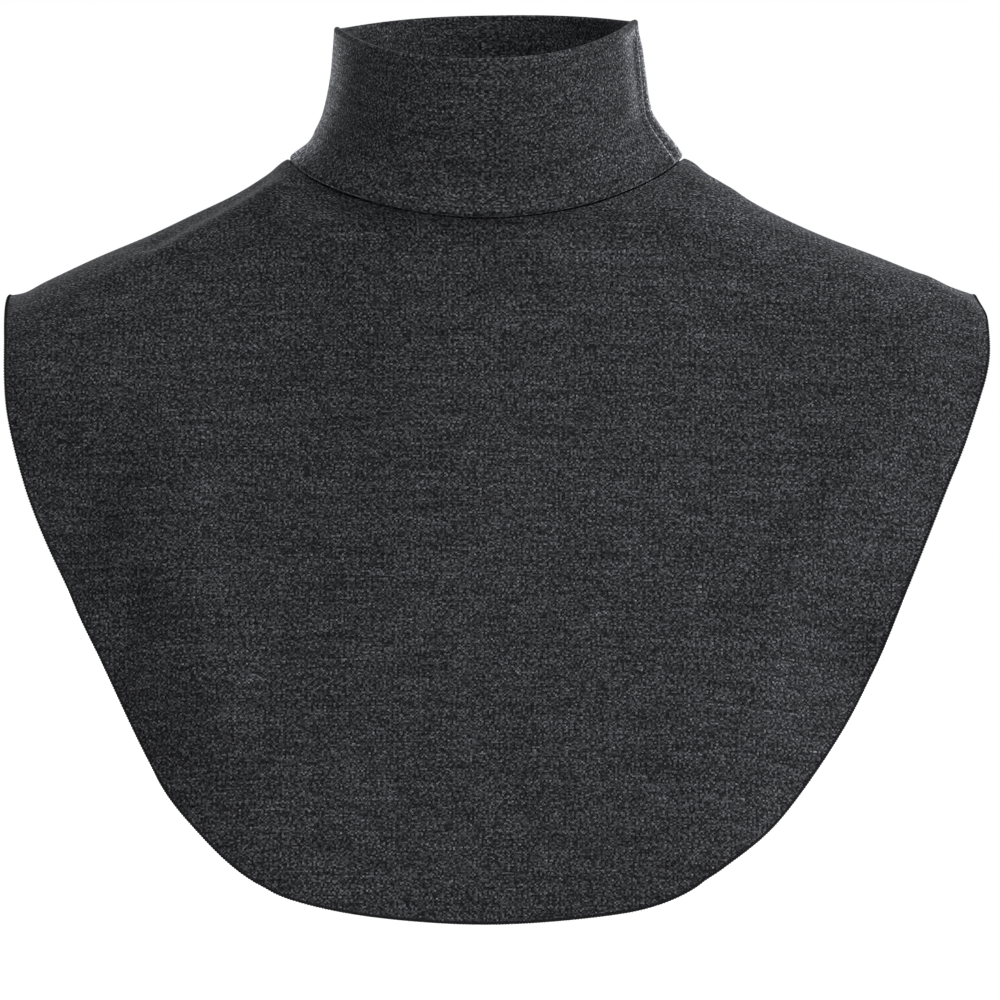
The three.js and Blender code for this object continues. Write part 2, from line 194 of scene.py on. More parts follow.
FRONT = {
    "facing": -1,
    "outline": FRONT_OUTLINE,
    "folds": FRONT_FOLDS,
    "neck_drop": 26.2,
    "neck_rise": 0,
    "seam_ridge": 5.5,
    "roll_depth": 61,
    "roll_depth_loss": 14,
    "roll_drop": 28,
    "roll_drop_gain": 4,
    "lean": 0.36,
    "lean_gain": 0.1,
    "lean_loss": 0.19,
    "lean_start": 60,
    "lean_fade": 300,
    "twist": 0.04,
}
BACK = {
    "facing": 1,
    "outline": BACK_OUTLINE,
    "folds": (),
    "neck_drop": -4,
    "neck_rise": 20,
    "seam_ridge": 0,
    "roll_depth": 60,
    "roll_depth_loss": 16,
    "roll_drop": 38,
    "roll_drop_gain": 8,
    "lean": 0.24,
    "lean_gain": 0,
    "lean_loss": 0.08,
    "lean_start": 1,
    "lean_fade": 110,
    "twist": 0,
}
FORM_HALF_WIDTH = 185
SIDE_CURVE_POWER = 3
FORM_FALL_WIDTH = 90
ROLL_DROP_WIDTH = 80
LEAN_COSINE = 0.95
LEAN_FREE = 30
TWIST_START = 60
SEAM_HOLD = 12

# Panel mesh
PANEL_COLUMNS = 300
PANEL_ROWS = 150
COLUMN_CROWDING = 0.88
ROW_CROWDING = 0.8
MERGE_DISTANCE = 1e-7

# Seam grooves and the ridge that carries the neck seam
GROOVE_RADIUS = 1.1
NECK_GROOVE_DEPTH = 2
SHOULDER_GROOVE_DEPTH = 0.6
GROOVE_LEAST = 0.7
PANEL_RIDGE_WIDTH = 4.5
COLLAR_RIDGE_WIDTH = 8
SEAM_RIDGE_MEAN = 0.75
SEAM_RIDGE_TILT = 0.25
EDGE_CURL = 1.0
EDGE_CURL_WIDTH = 4

# Puckers of the cloth along the neck seam
NECK_SEAM_LENGTH = 180
PUCKER_LIFT = 0.22
PUCKER_LENGTH = 9
PUCKER_REACH = 8
PUCKER_START = 1.0
SECOND_WAVE = 0.618
THIRD_WAVE = 1.414

# Small steps, over which the direction of a surface or an edge is measured
NORMAL_STEP = 0.5
COLLAR_NORMAL_STEP = 0.01
INWARD_STEP = 1
UPWARD_STEP = 0.02

# Overlocked edge
EDGE_HALF_WIDTH = 0.8
EDGE_HALF_DEPTH = 0.75
EDGE_PITCH = 1.1
EDGE_THREAD = 0.17
EDGE_POINTS = 900
EDGE_SIDES = 8
POINTS_PER_WRAP = 9
THREAD_SIDES = 5

# Seam allowances
ALLOWANCE_HALF_WIDTH = 2.6
ALLOWANCE_HALF_DEPTH = 0.6
ALLOWANCE_PITCH = 2.2
ALLOWANCE_THREAD = 0.2
ALLOWANCE_SIDES = 16
NECK_ALLOWANCE_POINTS = 361
NECK_ALLOWANCE_RISE = 0.5
SHOULDER_ALLOWANCE_POINTS = 120
SHOULDER_SEAM_START = 82
SHOULDER_SEAM_END = 182.5

# Knit of the jersey, in counts for each metre of flat cloth, and the sway of its ribs in metres
WALES = 1450
COURSES = 1650
RIBS = 508
RIB_SWAY = 0.0012

# Random patterns: count across, count along, detail, roughness
# A count is for each metre of flat cloth, but for the long streaks the second one is for each course.
LONG_STREAKS = (30, 7.31, 2, 0.6)
SHORT_STREAKS = (150, 700, 2, 0.7)
SPECKLE = (860, 960, 1, 0.5)
FIBRES = (5200, 3600, 2, 0.6)
CLOUDS = (60, 90, 3, 0.7)
SWAY = (40, 25, 1, 0.5)
THREAD_FLECK = (900, 900, 3, 0.6)

# Share of each pattern in the tone of the melange
LONG_STREAK_SHARE = 1.5
SHORT_STREAK_SHARE = 0.6
SPECKLE_SHARE = 1.6
STITCH_SHARE = 2.25
NEIGHBOUR_SHARE = -0.17
FIBRE_SHARE = 1.2
CLOUD_SHARE = 0.5
RIB_SHARE = 0.11
# Painted shade of the knit loops: the tone is darker in the gaps between loops and lighter on their tops.
LOOP_SHADE_SHARE = 0.55
LOOP_SHADE_MEAN = 0.35

# Finish of the jersey
MELANGE_TONE = 0.0272
MELANGE_CONTRAST = 1.12
MELANGE_LIGHTEST = 0.3
MELANGE_TINT = (0.965, 0.985, 1.09, 1)
TONE_REACH = 1.5
JERSEY_ROUGHEST = 0.98
JERSEY_SMOOTHEST = 0.82
JERSEY_SPECULAR = 0.05
SHEEN_WEIGHT = 0.12
SHEEN_ROUGHNESS = 0.2
SHEEN_TINT = (0.75, 0.76, 0.8, 1)
FIBRE_RELIEF = 0.8
KNIT_RELIEF = 0.12
KNIT_RELIEF_STRENGTH = 0.7

# Painted highlight for the light that brushed fibres catch at a grazing angle: the base colour gets lighter
# there, but not on the collar's lip
RIM_HIGHLIGHT_START = 0.48
COLLAR_RIM_HIGHLIGHT = 7
PANEL_RIM_HIGHLIGHT = 1.5
LIP_START = 1.2
LIP_END = 3

# Finish of the thread, with its twists for each metre
TWISTS_ALONG = 2200
TWISTS_ROUND = 1900
TWIST_SHARE = 0.12
FLECK_SHARE = 1.6
THREAD_DARKEST = (0.002, 0.002, 0.003, 1)
THREAD_LIGHTEST = (0.02, 0.02, 0.023, 1)
THREAD_ROUGHEST = 0.9
THREAD_SMOOTHEST = 0.7
THREAD_SPECULAR = 0.1
TWIST_RELIEF = 0.03
TWIST_RELIEF_STRENGTH = 0.6

# The photograph's viewing angle
CAMERA_PLACE = (5.4, -2200, -130.5)
FOCAL_LENGTH = 205.2
SENSOR_WIDTH = 36

# Floor of pale paper
FLOOR_HEIGHT = -620
FLOOR_RADIUS = 30000
FLOOR_SIDES = 64
PAPER_GRAIN = 3.0
PAPER_GRAIN_DETAIL = 2.0
PAPER_DARKEST = 0.88
PAPER_LIGHTEST = 0.92
PAPER_ROUGHNESS = 0.9

# Soft light from the front and from the white backdrop behind, and two large lights on the right
SEEN_BACKGROUND = 1.0
SOFT_FROM_FRONT = 0.97
SOFT_FROM_BEHIND = 2.0
LIGHT_ANGLE = 40
KEY_LIGHT = 2.86
KEY_AZIMUTH = 75
KEY_RISE = 0.32
TOP_LIGHT = 1.25
TOP_AZIMUTH = 60
TOP_RISE = 2.75


# Shapes of the worn form


def smooth_value(table, column, at):
    """A smooth value from a table whose first column is the key. Its slope follows the neighbours."""
    rows = np.array(table, float)
    keys = rows[:, 0]
    values = rows[:, column]
    slopes = np.empty(len(keys))
    slopes[1:-1] = (values[2:] - values[:-2]) / (keys[2:] - keys[:-2])
    slopes[0] = (values[1] - values[0]) / (keys[1] - keys[0])
    slopes[-1] = (values[-1] - values[-2]) / (keys[-1] - keys[-2])
    at = np.clip(at, keys[0], keys[-1])
    start = np.clip(np.searchsorted(keys, at) - 1, 0, len(keys) - 2)
    span = keys[start + 1] - keys[start]
    part = (at - keys[start]) / span
    rise = values[start + 1] - values[start]
    leaving = slopes[start] * span
    arriving = slopes[start + 1] * span
    bend = part * (1 - part) * ((1 - part) * (leaving - rise) - part * (arriving - rise))
    return values[start] + rise * part + bend


def shoulder_height(side, x):
    inside = np.maximum(1 - (x / NECK_HALF_WIDTH) ** 2, 0)
    left = smooth_value(SHOULDER_LINE, LEFT_HEIGHT, np.abs(x))
    right = smooth_value(SHOULDER_LINE, RIGHT_HEIGHT, np.abs(x))
    return np.where(x < 0, left, right) + side["neck_rise"] * inside


def roll_at(side, x):
    """Depth, drop, length and lean of the roll of the cloth over the shoulder line."""
    share = np.abs(x / FORM_HALF_WIDTH) ** SIDE_CURVE_POWER
    aside = np.tanh((x / FORM_FALL_WIDTH) ** 2)
    depth = side["roll_depth"] - side["roll_depth_loss"] * aside
    drop = side["roll_drop"] + side["roll_drop_gain"] * np.tanh((x / ROLL_DROP_WIDTH) ** 2)
    length = (math.pi / 2) * np.sqrt((depth**2 + drop**2) / 2)
    return depth, drop, length, side["lean"] + side["lean_gain"] * aside - side["lean_loss"] * share


def drape_at(side, x, height):
    """The distance down the cloth from the shoulder line, at a height seen from the front."""
    _, roll_drop, length, _ = roll_at(side, x)
    drop = np.maximum(shoulder_height(side, x) - height, 0)
    rolled = length * np.arccos(np.clip(1 - drop / roll_drop, -1, 1)) / (math.pi / 2)
    straight = length + (drop - roll_drop) / LEAN_COSINE
    return np.where(drop < roll_drop, rolled, straight)


def lean_reach(side, depth_down):
    """How far a unit of lean brings the cloth out. It starts below the neckline and ends at the hem."""
    down = np.maximum(depth_down, 0)
    begun = down - side["lean_start"] * np.arctan(down / side["lean_start"])
    return side["lean_fade"] * np.tanh(begun / side["lean_fade"])


def form_point(side, x, drape):
    depth, roll_drop, length, lean = roll_at(side, x)
    turn = np.minimum(drape / length, 1) * (math.pi / 2)
    straight = np.maximum(drape - length, 0)
    drop = roll_drop * (1 - np.cos(turn)) + straight * LEAN_COSINE
    top = shoulder_height(side, x)
    held = lean_reach(side, SHOULDER_TOP - top) * np.exp(-drop / LEAN_FREE)
    reach = depth * np.sin(turn) + lean * (lean_reach(side, SHOULDER_TOP - top + drop) - held)
    reach += side["twist"] * x * (1 - np.exp(-((drop / TWIST_START) ** 2)))
    return np.stack([x, side["facing"] * reach, top - drop], axis=-1)


def unit(vectors):
    return vectors / np.linalg.norm(vectors, axis=-1, keepdims=True)


def form_normal(side, x, drape):
    step = NORMAL_STEP
    across = form_point(side, x + step, drape) - form_point(side, x - step, drape)
    down = form_point(side, x, drape + step) - form_point(side, x, np.maximum(drape - step, 0))
    return -side["facing"] * unit(np.cross(down, across))


def fold_lift(folds, first, second):
    """The sum of ridges and dents, each along a line between two places."""
    lift = np.zeros(len(first))
    for first_0, second_0, first_1, second_1, width, height in folds:
        along_first = first_1 - first_0
        along_second = second_1 - second_0
        length = math.hypot(along_first, along_second)
        along = ((first - first_0) * along_first + (second - second_0) * along_second) / length**2
        off = ((first - first_0) * along_second - (second - second_0) * along_first) / length
        past = np.maximum(np.maximum(-along, along - 1), 0) * length
        lift += height * np.exp(-(off**2 + past**2) / width**2)
    return lift


def groove_depth(distance, depth):
    """The cloth turns down into a seam with a round edge."""
    left = np.clip(1 - distance / GROOVE_RADIUS, 0, 1)
    return depth * (1 - np.sqrt(1 - left**2))


def neck_groove(distance, turn):
    """The groove of the neck seam is less deep at its two ends."""
    along = np.maximum(np.sin(math.pi * turn), 0)
    return groove_depth(distance, NECK_GROOVE_DEPTH * (GROOVE_LEAST + (1 - GROOVE_LEAST) * along))


def ridge_shift(side, angle, strength):
    """The neck seam stands out level, less on the right, at angle 0, than on the left."""
    leftward = SEAM_RIDGE_MEAN - SEAM_RIDGE_TILT * np.cos(angle)
    reach = side["seam_ridge"] * strength * leftward * np.maximum(np.sin(angle), 0)
    return np.stack([reach * np.cos(angle), -reach * np.sin(angle), 0 * reach], axis=-1)


def ripple(place, wavelength, start):
    """An uneven wave of about one wavelength, from three that don't repeat together."""
    turn = 2 * math.pi * place / wavelength + start
    second = np.sin(turn * SECOND_WAVE + 2 * start)
    third = np.sin(turn * THIRD_WAVE + 3 * start)
    return (np.sin(turn) + second + third) / 3


def crowded(share, strength):
    """Even shares of a length, moved towards both of its ends."""
    return share - strength * np.sin(2 * math.pi * share) / (2 * math.pi)


# Panels in the flat cloth


def neck_on_cloth(side, turn):
    """The neck seam: a turn of 0 is one end of the shoulder line, and 1 is the other."""
    angle = math.pi * turn
    x = side["facing"] * NECK_HALF_WIDTH * np.cos(angle)
    ends = np.array([-NECK_HALF_WIDTH, NECK_HALF_WIDTH])
    start = np.interp(x, ends, shoulder_height(side, ends))
    height = start - side["neck_drop"] * np.maximum(np.sin(angle), 0) ** NECK_CURVE_POWER
    return np.stack([x, drape_at(side, x, height)], axis=-1)


def centripetal_path(points, steps=60):
    """A close row of points on a smooth curve through the given ones."""
    ends = np.vstack([2 * points[0] - points[1], points, 2 * points[-1] - points[-2]])
    part = np.linspace(0, 1, steps, endpoint=False)[:, None]
    rows = []
    for before, start, end, after in zip(ends, ends[1:], ends[2:], ends[3:]):
        gap_before = np.linalg.norm(start - before) ** 0.5
        gap = np.linalg.norm(end - start) ** 0.5
        gap_after = np.linalg.norm(after - end) ** 0.5
        leaving = (start - before) / gap_before - (end - before) / (gap_before + gap) + (end - start) / gap
        arriving = (end - start) / gap - (after - start) / (gap + gap_after) + (after - end) / gap_after
        leaving = leaving * gap
        arriving = arriving * gap
        square = (3 * (end - start) - 2 * leaving - arriving) * part**2
        cube = (2 * (start - end) + leaving + arriving) * part**3
        rows.append(start + leaving * part + square + cube)
    rows.append(points[-1:])
    return np.vstack(rows)


def outline_on_cloth(side, turn, inset):
    """The outer edge, moved into the cloth by the inset."""
    across, height = np.array(side["outline"], float).T
    height = np.minimum(height, shoulder_height(side, across))
    across, height = centripetal_path(np.stack([across, height], axis=-1)).T
    path = np.stack([across, drape_at(side, across, height)], axis=-1)
    run = np.concatenate([[0], np.cumsum(np.linalg.norm(np.diff(path, axis=0), axis=1))])
    tangent = unit(np.gradient(path, run, axis=0))
    inward = np.stack([-side["facing"] * tangent[:, 1], side["facing"] * tangent[:, 0]], axis=-1)
    at = turn * run[-1]
    point = np.stack([np.interp(at, run, path[:, i]) for i in (0, 1)], axis=-1)
    way = unit(np.stack([np.interp(at, run, inward[:, i]) for i in (0, 1)], axis=-1))
    return point + way * inset


def panel_place(side, turn, outward, inset):
    """A place on the flat cloth, and its distances from the neck seam and from the edge."""
    near = neck_on_cloth(side, turn)
    far = outline_on_cloth(side, turn, inset)
    place = near + (far - near) * outward[:, None]
    drape = place[:, 1] + GAP / 2 * np.exp(-place[:, 1] / GAP)
    length = np.linalg.norm(far - near, axis=1)
    return place[:, 0], drape, outward * length, (1 - outward) * length


def panel_lift(side, turn, point, drape, from_neck, from_edge):
    freed = 1 - np.exp(-((drape / SEAM_HOLD) ** 2))
    lift = fold_lift(side["folds"], point[:, 0], point[:, 2])
    pucker = ripple(turn * NECK_SEAM_LENGTH, PUCKER_LENGTH, PUCKER_START)
    lift += PUCKER_LIFT * pucker * np.exp(-((from_neck / PUCKER_REACH) ** 2))
    lift -= EDGE_CURL * np.exp(-((from_edge / EDGE_CURL_WIDTH) ** 2))
    return freed * lift


def panel_points(side, turn, outward, inset, depth):
    """Points of the worn panel, and the place of each on the flat cloth."""
    x, drape, from_neck, from_edge = panel_place(side, turn, outward, inset)
    point = form_point(side, x, drape)
    lift = panel_lift(side, turn, point, drape, from_neck, from_edge)
    groove = np.maximum(neck_groove(from_neck, turn), groove_depth(drape, SHOULDER_GROOVE_DEPTH))
    normal = form_normal(side, x, drape)
    ridge = ridge_shift(side, math.pi * (1 - turn), np.exp(-from_neck / PANEL_RIDGE_WIDTH))
    worn = point + ridge + normal * (lift - groove - depth)[:, None]
    _, roll_drop, length, _ = roll_at(side, x)
    flat = np.stack([x, shoulder_height(side, x) - drape + length - roll_drop], axis=-1)
    return worn, flat, normal


# Collar


def fuller(ratio):
    """A sine or cosine for an oval with fuller corners than an ellipse."""
    return np.sign(ratio) * np.abs(ratio) ** COLLAR_TOP_FULLNESS


def collar_point(angle, share):
    """The outer surface of the collar: angle 0 is the right side, and a quarter turn is the front."""
    sideways = np.cos(angle)
    left = smooth_value(COLLAR_FLARE, FLARE_LEFT, share)
    right = smooth_value(COLLAR_FLARE, FLARE_RIGHT, share)
    middle = smooth_value(COLLAR_FLARE, FLARE_MIDDLE, share)
    flare = middle + (np.where(sideways > 0, right, left) - middle) * sideways**2
    in_front = np.sin(angle) >= 0
    turn = np.arccos(np.clip(sideways, -1, 1)) / math.pi
    bottoms = []
    for side, at in ((FRONT, 1 - turn), (BACK, turn)):
        x, drape = neck_on_cloth(side, at).T
        bottoms.append(form_point(side, x, drape))
    bottom = np.where(in_front[:, None], *bottoms)
    reach = np.where(in_front, COLLAR_TOP_FRONT_REACH, COLLAR_TOP_BACK_REACH)
    end_height = np.where(in_front, COLLAR_TOP_FRONT_HEIGHT, COLLAR_TOP_BACK_HEIGHT)
    end_share = np.abs(np.sin(angle)) ** COLLAR_TOP_CURVE_POWER
    height = COLLAR_TOP_SIDE_HEIGHT + (end_height - COLLAR_TOP_SIDE_HEIGHT) * end_share
    height = height + COLLAR_TOP_LEAN * sideways
    across = COLLAR_TOP_HALF_WIDTH * fuller(sideways)
    top = np.stack([across, -reach * fuller(np.sin(angle)), height], axis=-1)
    point = bottom + (top - bottom) * (1 - flare)[:, None]
    point[:, 2] = bottom[:, 2] + COLLAR_GAP + (top[:, 2] - bottom[:, 2] - COLLAR_GAP) * share
    strength = np.exp(-((share * COLLAR_HEIGHT / COLLAR_RIDGE_WIDTH) ** 2))
    return point + ridge_shift(FRONT, angle, strength)


def collar_normal(angle, share):
    step = COLLAR_NORMAL_STEP
    up = collar_point(angle, np.minimum(share + step, 1)) - collar_point(angle, np.maximum(share - step, 0))
    round_way = collar_point(angle + step, share) - collar_point(angle - step, share)
    return unit(np.cross(up, round_way))


def collar_lift(angle, share):
    height = share * COLLAR_HEIGHT
    radius = (COLLAR_TOP_HALF_WIDTH + COLLAR_TOP_FRONT_REACH) / 2
    folds = [(a * radius, b, c * radius, d, width, lift) for a, b, c, d, width, lift in COLLAR_FOLDS]
    centred = (angle + math.pi / 2) % (2 * math.pi) - math.pi / 2
    return fold_lift(folds, centred * radius, height)


def collar_points(angle, share, depth):
    lift = collar_lift(angle, share)
    return collar_point(angle, share) + collar_normal(angle, share) * (lift - depth)[:, None]


# Meshes


def grid(columns, rows):
    """A flat grid, with the share of each vertex across and up it."""
    mesh = bmesh.new()
    bmesh.ops.create_grid(mesh, x_segments=columns, y_segments=rows, size=0.5)
    shares = np.array([vert.co[:2] for vert in mesh.verts]) + 0.5
    return mesh, shares[:, 0], shares[:, 1]


def shape_grid(mesh, points, flat):
    """Moves a grid's vertices to their points, and keeps their places on the flat cloth as its UV map."""
    for vert, point in zip(mesh.verts, points * MM):
        vert.co = point
    mesh.verts.index_update()
    layer = mesh.loops.layers.uv.new("cloth")
    flat = flat * MM
    for face in mesh.faces:
        face.smooth = True
        for loop in face.loops:
            loop[layer].uv = flat[loop.vert.index]


def finished(name, mesh, material):
    data = bpy.data.meshes.new(name)
    mesh.to_mesh(data)
    mesh.free()
    data.materials.append(material)
    piece = bpy.data.objects.new(name, data)
    bpy.context.scene.collection.objects.link(piece)
    return piece


def give_wall(piece, thickness, offset):
    wall = piece.modifiers.new("wall", "SOLIDIFY")
    wall.thickness = thickness * MM
    wall.offset = offset


def panel(name, side, material):
    """A panel is a grid whose width runs along the neck seam and whose height runs out to the edge."""
    mesh, across, up = grid(PANEL_COLUMNS, PANEL_ROWS)
    turn = crowded(across, COLUMN_CROWDING)
    outward = crowded(1 - up, ROW_CROWDING)
    depth = np.full(len(turn), (PANEL_WALL - PANEL_CLOTH) / 2)
    points, flat, _ = panel_points(side, turn, outward, EDGE_HALF_WIDTH, depth)
    shape_grid(mesh, points, flat)
    piece = finished(name, mesh, material)
    give_wall(piece, PANEL_CLOTH, -1)
    return piece


def collar(name, material):
    """The collar is one strip, folded double: up the outside, over the fold and down the inside."""
    mesh, across, up = grid(COLLAR_COLUMNS, COLLAR_ROWS)
    even = 2 * math.pi * across
    angle = -(even - COLLAR_SIDE_CROWDING * np.sin(2 * even))
    fold_radius = (COLLAR_WALL - COLLAR_CLOTH) / 2
    fold_share = fold_radius / COLLAR_HEIGHT
    turn = np.clip((up - FOLD_FROM) / (FOLD_TO - FOLD_FROM), 0, 1) * math.pi
    outer = crowded(np.clip(up / FOLD_FROM, 0, 1), OUTSIDE_CROWDING)
    inner = crowded(np.clip((1 - up) / (1 - FOLD_TO), 0, 1), INSIDE_CROWDING)
    share = np.where(up <= FOLD_FROM, outer, np.where(up >= FOLD_TO, inner, 1)) * (1 - fold_share)
    share = share + fold_share * np.sin(turn)
    depth = COLLAR_CLOTH / 2 + fold_radius * (1 - np.cos(turn))
    depth = depth + np.where(up <= FOLD_FROM, neck_groove(share * COLLAR_HEIGHT, angle / math.pi), 0)
    points = collar_points(angle, share, depth)
    girth = 2 * math.pi * (COLLAR_TOP_HALF_WIDTH + COLLAR_TOP_FRONT_REACH) / 2
    climb = np.where(up <= (FOLD_FROM + FOLD_TO) / 2, share, 2 - share) * COLLAR_HEIGHT
    shape_grid(mesh, points, np.stack([-angle / (2 * math.pi) * girth, climb], axis=-1))
    bmesh.ops.remove_doubles(mesh, verts=mesh.verts, dist=MERGE_DISTANCE)
    piece = finished(name, mesh, material)
    give_wall(piece, COLLAR_CLOTH, 0)
    return piece


def tube(path, first, second, half_first, half_second, sides, closed):
    """A tube round a path. Its section is an ellipse along two directions at each point."""
    count = len(path)
    mesh, across, up = grid(count - 1, sides)
    at = np.rint(across * (count - 1)).astype(int)
    turn = 2 * math.pi * up
    points = path[at] + first[at] * (half_first * np.cos(turn))[:, None]
    points = points + second[at] * (half_second * np.sin(turn))[:, None]
    run = np.concatenate([[0], np.cumsum(np.linalg.norm(np.diff(path, axis=0), axis=1))])
    shape_grid(mesh, points, np.stack([run[at], up * math.pi * (half_first + half_second)], axis=-1))
    bmesh.ops.remove_doubles(mesh, verts=mesh.verts, dist=MERGE_DISTANCE)
    if not closed:
        bmesh.ops.holes_fill(mesh, edges=mesh.edges, sides=sides)
    bmesh.ops.recalc_face_normals(mesh, faces=mesh.faces)
    return mesh


def wrapped(path, first, second, half_first, half_second, pitch, thread, closed):
    """A thread wound round a path, evenly spaced."""
    run = np.concatenate([[0], np.cumsum(np.linalg.norm(np.diff(path, axis=0), axis=1))])
    wraps = round(run[-1] / pitch)
    turns = np.linspace(0, wraps, wraps * POINTS_PER_WRAP + 1)
    at = turns / wraps * run[-1]

    def between(rows):
        return np.stack([np.interp(at, run, rows[:, i]) for i in range(3)], axis=-1)

    angle = 2 * math.pi * turns
    middle = between(path)
    side_way = unit(between(first))
    out_way = unit(between(second))
    cosine = np.cos(angle)[:, None]
    sine = np.sin(angle)[:, None]
    wound = middle + side_way * half_first * cosine + out_way * half_second * sine
    away = unit(side_way * half_second * cosine + out_way * half_first * sine)
    if closed:
        wound[-1] = wound[0]
        away[-1] = away[0]
    tangent = unit(np.gradient(wound, axis=0))
    beside = unit(np.cross(tangent, away))
    if closed:
        beside[-1] = beside[0]
    return tube(wound, away, beside, thread, thread, THREAD_SIDES, closed)


def joined(meshes):
    """Several meshes in one."""
    for mesh in meshes[1:]:
        data = bpy.data.meshes.new("part")
        mesh.to_mesh(data)
        mesh.free()
        meshes[0].from_mesh(data)
        bpy.data.meshes.remove(data)
    return meshes[0]


def overlocked_edge(name, side, material):
    """The cut edge of a panel, wrapped close with thread."""
    turn = np.linspace(0, 1, EDGE_POINTS)
    outward = np.ones(len(turn))
    depth = np.full(len(turn), PANEL_WALL / 2)
    path, _, normal = panel_points(side, turn, outward, EDGE_HALF_WIDTH, depth)
    inside, _, _ = panel_points(side, turn, outward, EDGE_HALF_WIDTH + INWARD_STEP, depth)
    inward = unit(inside - path)
    core_width = EDGE_HALF_WIDTH - EDGE_THREAD
    core_depth = EDGE_HALF_DEPTH - EDGE_THREAD
    core = tube(path, inward, normal, core_width, core_depth, EDGE_SIDES, False)
    half_width = EDGE_HALF_WIDTH - EDGE_THREAD / 2
    half_depth = EDGE_HALF_DEPTH - EDGE_THREAD / 2
    thread = wrapped(path, inward, normal, half_width, half_depth, EDGE_PITCH, EDGE_THREAD, False)
    return finished(name, joined([core, thread]), material)


def allowance(name, path, first, second, material, closed):
    """A seam allowance: a flat band of joined cloth, overlocked together."""
    sizes = (ALLOWANCE_HALF_WIDTH, ALLOWANCE_HALF_DEPTH, ALLOWANCE_SIDES)
    band = tube(path, first, second, *sizes, closed)
    half_width = ALLOWANCE_HALF_WIDTH + ALLOWANCE_THREAD / 2
    half_depth = ALLOWANCE_HALF_DEPTH + ALLOWANCE_THREAD / 2
    thread = wrapped(path, first, second, half_width, half_depth, ALLOWANCE_PITCH, ALLOWANCE_THREAD, closed)
    return finished(name, joined([band, thread]), material)


def neck_allowance(name, material):
    """The allowance of the neck seam stands up inside the foot of the collar."""
    angle = -np.linspace(0, 2 * math.pi, NECK_ALLOWANCE_POINTS)
    share = np.full(len(angle), (ALLOWANCE_HALF_WIDTH + NECK_ALLOWANCE_RISE) / COLLAR_HEIGHT)
    depth = np.full(len(angle), COLLAR_WALL + GAP + ALLOWANCE_HALF_DEPTH + ALLOWANCE_THREAD)
    path = collar_points(angle, share, depth)
    above = collar_points(angle, share + UPWARD_STEP, depth)
    deeper = collar_points(angle, share, depth + INWARD_STEP)
    path[-1] = path[0]
    return allowance(name, path, unit(above - path), unit(path - deeper), material, True)


def shoulder_allowance(name, hand, material):
    """The allowance under a shoulder line follows it out to the tip."""
    x = hand * np.linspace(SHOULDER_SEAM_START, SHOULDER_SEAM_END, SHOULDER_ALLOWANCE_POINTS)
    drape = np.zeros(len(x))
    normal = form_normal(FRONT, x, drape)
    depth = PANEL_WALL + 2 * GAP + ALLOWANCE_HALF_DEPTH
    path = form_point(FRONT, x, drape) - normal * depth
    path[:, 1] = 0
    across = np.tile([0.0, 1.0, 0.0], (len(x), 1))
    return allowance(name, path, across, normal, material, False)


# Materials


def add_node(tree, kind, inputs=None, **settings):
    """A new node. An input is given a number or colour, or another node's output to follow."""
    made = tree.nodes.new(kind)
    for key, value in settings.items():
        setattr(made, key, value)
    for key, value in (inputs or {}).items():
        if isinstance(value, bpy.types.NodeSocket):
            tree.links.new(value, made.inputs[key])
        else:
            made.inputs[key].default_value = value
    return made


def maths(tree, operation, first, second=0.0):
    return add_node(tree, "ShaderNodeMath", {0: first, 1: second}, operation=operation).outputs[0]


def pattern(tree, vector, kind):
    """A random pattern about zero, scaled differently in the two directions."""
    across, along, detail, roughness = kind
    scaled = add_node(tree, "ShaderNodeMapping", {"Vector": vector, "Scale": (across, along, 1)})
    inputs = {"Vector": scaled.outputs["Vector"], "Scale": 1.0, "Detail": detail, "Roughness": roughness}
    made = add_node(tree, "ShaderNodeTexNoise", inputs, noise_dimensions="2D")
    return maths(tree, "SUBTRACT", made.outputs[0], 0.5)


def layered(tree, layers):
    """The sum of several patterns, each with its share."""
    total = None
    for layer, share in layers:
        part = maths(tree, "MULTIPLY", layer, share)
        total = part if total is None else maths(tree, "ADD", total, part)
    return total


def stitch_value(tree, column, row):
    """The random tone of one stitch."""
    cell = add_node(tree, "ShaderNodeCombineXYZ", {0: column, 1: row}).outputs[0]
    made = add_node(tree, "ShaderNodeTexWhiteNoise", {"Vector": cell}, noise_dimensions="2D")
    return maths(tree, "SUBTRACT", made.outputs["Value"], 0.5)


def stitch_tone(tree, column, row):
    """The tone of a stitch, which stands out from the stitches beside and above it."""
    own = stitch_value(tree, column, row)
    beside = stitch_value(tree, maths(tree, "ADD", column, 1.0), row)
    above = stitch_value(tree, column, maths(tree, "ADD", row, 1.0))
    return layered(tree, ((own, 1.0), (beside, NEIGHBOUR_SHARE), (above, NEIGHBOUR_SHARE)))


